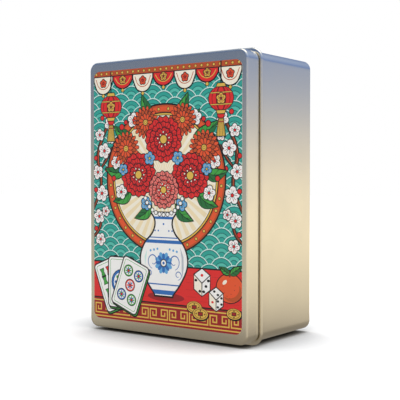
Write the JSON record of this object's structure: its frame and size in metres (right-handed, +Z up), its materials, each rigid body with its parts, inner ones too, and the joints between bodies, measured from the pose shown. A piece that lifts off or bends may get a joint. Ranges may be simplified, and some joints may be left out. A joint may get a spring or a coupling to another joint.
{
  "type": "mahjong card game",
  "caption": "Mahjong card game in an upright slip-lid tin with a raised bead and printed lid, with trays of suited cards, dice, score chips and a rule booklet.",
  "frame": {"origin": "on the floor under the bead, midway across the tin and midway through its depth", "axes": "+Z up along the tin's long side as it stands, lid and label facing -Y, +X to the right seen from the lid"},
  "size_m": [0.1106, 0.066, 0.1535],
  "materials": {
    "tinplate": "satin tinplate",
    "label_print": "semi-gloss print",
    "booklet_paper": "matt printed paper",
    "card_stock": "coated card stock",
    "tray_plastic": "formed satin sheet",
    "die_plastic": "polished moulding",
    "button_plastic": "polished moulding",
    "chip_red": "satin moulding",
    "chip_green": "satin moulding",
    "chip_blue": "satin moulding",
    "chip_white": "satin moulding"
  },
  "bodies": {
    "base": {"tin_base": "tinplate"},
    "lid": {"tin_lid": "tinplate", "lid_label": "label_print"},
    "booklet": {"rule_booklet": "booklet_paper"},
    "card_tray": {"card_tray": "tray_plastic"},
    "chip_tray": {"chip_tray": "tray_plastic"},
    "dealer_button": {"dealer_button": "button_plastic"},
    "cards_bamboo": {"cards_bamboo": "card_stock"},
    "cards_dots": {"cards_dots": "card_stock"},
    "cards_characters": {"cards_characters": "card_stock"},
    "cards_winds": {"cards_winds": "card_stock"},
    "cards_dragons": {"cards_dragons": "card_stock"},
    "cards_flowers": {"cards_flowers": "card_stock"},
    "die_1": {"die_1": "die_plastic"},
    "die_2": {"die_2": "die_plastic"},
    "die_3": {"die_3": "die_plastic"},
    "red_chips": {"red_chip_01": "chip_red", "red_chip_02": "chip_red", "red_chip_03": "chip_red", "red_chip_04": "chip_red", "red_chip_05": "chip_red", "red_chip_06": "chip_red", "red_chip_07": "chip_red", "red_chip_08": "chip_red", "red_chip_09": "chip_red", "red_chip_10": "chip_red"},
    "green_chips": {"green_chip_01": "chip_green", "green_chip_02": "chip_green", "green_chip_03": "chip_green", "green_chip_04": "chip_green", "green_chip_05": "chip_green", "green_chip_06": "chip_green", "green_chip_07": "chip_green", "green_chip_08": "chip_green", "green_chip_09": "chip_green", "green_chip_10": "chip_green"},
    "blue_chips": {"blue_chip_01": "chip_blue", "blue_chip_02": "chip_blue", "blue_chip_03": "chip_blue", "blue_chip_04": "chip_blue", "blue_chip_05": "chip_blue", "blue_chip_06": "chip_blue", "blue_chip_07": "chip_blue", "blue_chip_08": "chip_blue", "blue_chip_09": "chip_blue", "blue_chip_10": "chip_blue"},
    "white_chips": {"white_chip_01": "chip_white", "white_chip_02": "chip_white", "white_chip_03": "chip_white", "white_chip_04": "chip_white", "white_chip_05": "chip_white", "white_chip_06": "chip_white", "white_chip_07": "chip_white", "white_chip_08": "chip_white", "white_chip_09": "chip_white", "white_chip_10": "chip_white"}
  },
  "joints": [
    {"name": "lid_lift", "type": "slide", "parent": "base", "child": "lid", "axis": [0, -1, 0], "range_m": [0, 0.16]},
    {"name": "booklet_lift", "type": "slide", "parent": "base", "child": "booklet", "axis": [0, -1, 0], "range_m": [0, 0.1525]},
    {"name": "card_tray_lift", "type": "slide", "parent": "base", "child": "card_tray", "axis": [0, -1, 0], "range_m": [0, 0.1125]},
    {"name": "cards_bamboo_lift", "type": "slide", "parent": "card_tray", "child": "cards_bamboo", "axis": [0, -1, 0], "range_m": [0, 0.0309]},
    {"name": "cards_dots_lift", "type": "slide", "parent": "card_tray", "child": "cards_dots", "axis": [0, -1, 0], "range_m": [0, 0.0365]},
    {"name": "cards_characters_lift", "type": "slide", "parent": "card_tray", "child": "cards_characters", "axis": [0, -1, 0], "range_m": [0, 0.0309]},
    {"name": "cards_winds_lift", "type": "slide", "parent": "card_tray", "child": "cards_winds", "axis": [0, -1, 0], "range_m": [0, 0.0325]},
    {"name": "cards_dragons_lift", "type": "slide", "parent": "card_tray", "child": "cards_dragons", "axis": [0, -1, 0], "range_m": [0, 0.0345]},
    {"name": "cards_flowers_lift", "type": "slide", "parent": "card_tray", "child": "cards_flowers", "axis": [0, -1, 0], "range_m": [0, 0.0365]},
    {"name": "die_1_lift", "type": "slide", "parent": "card_tray", "child": "die_1", "axis": [0, -1, 0], "range_m": [0, 0.0205]},
    {"name": "die_2_lift", "type": "slide", "parent": "card_tray", "child": "die_2", "axis": [0, -1, 0], "range_m": [0, 0.0205]},
    {"name": "die_3_lift", "type": "slide", "parent": "card_tray", "child": "die_3", "axis": [0, -1, 0], "range_m": [0, 0.0205]},
    {"name": "chip_tray_lift", "type": "slide", "parent": "base", "child": "chip_tray", "axis": [0, -1, 0], "range_m": [0, 0.0709]},
    {"name": "dealer_button_lift", "type": "slide", "parent": "chip_tray", "child": "dealer_button", "axis": [0, -1, 0], "range_m": [0, 0.0165]},
    {"name": "red_chips_lift", "type": "slide", "parent": "chip_tray", "child": "red_chips", "axis": [0, -1, 0], "range_m": [0, 0.0365]},
    {"name": "green_chips_lift", "type": "slide", "parent": "chip_tray", "child": "green_chips", "axis": [0, -1, 0], "range_m": [0, 0.0365]},
    {"name": "blue_chips_lift", "type": "slide", "parent": "chip_tray", "child": "blue_chips", "axis": [0, -1, 0], "range_m": [0, 0.0365]},
    {"name": "white_chips_lift", "type": "slide", "parent": "chip_tray", "child": "white_chips", "axis": [0, -1, 0], "range_m": [0, 0.0365]}
  ],
  "couplings": [
    {"joint": "booklet_lift", "follows": "lid_lift", "ratio": 0.95},
    {"joint": "card_tray_lift", "follows": "lid_lift", "ratio": 0.7},
    {"joint": "cards_bamboo_lift", "follows": "lid_lift", "ratio": 0.19},
    {"joint": "cards_dots_lift", "follows": "lid_lift", "ratio": 0.225},
    {"joint": "cards_characters_lift", "follows": "lid_lift", "ratio": 0.19},
    {"joint": "cards_winds_lift", "follows": "lid_lift", "ratio": 0.2},
    {"joint": "cards_dragons_lift", "follows": "lid_lift", "ratio": 0.2125},
    {"joint": "cards_flowers_lift", "follows": "lid_lift", "ratio": 0.225},
    {"joint": "die_1_lift", "follows": "lid_lift", "ratio": 0.125},
    {"joint": "die_2_lift", "follows": "lid_lift", "ratio": 0.125},
    {"joint": "die_3_lift", "follows": "lid_lift", "ratio": 0.125},
    {"joint": "chip_tray_lift", "follows": "lid_lift", "ratio": 0.44},
    {"joint": "dealer_button_lift", "follows": "lid_lift", "ratio": 0.1},
    {"joint": "red_chips_lift", "follows": "lid_lift", "ratio": 0.225},
    {"joint": "green_chips_lift", "follows": "lid_lift", "ratio": 0.225},
    {"joint": "blue_chips_lift", "follows": "lid_lift", "ratio": 0.225},
    {"joint": "white_chips_lift", "follows": "lid_lift", "ratio": 0.225}
  ]
}
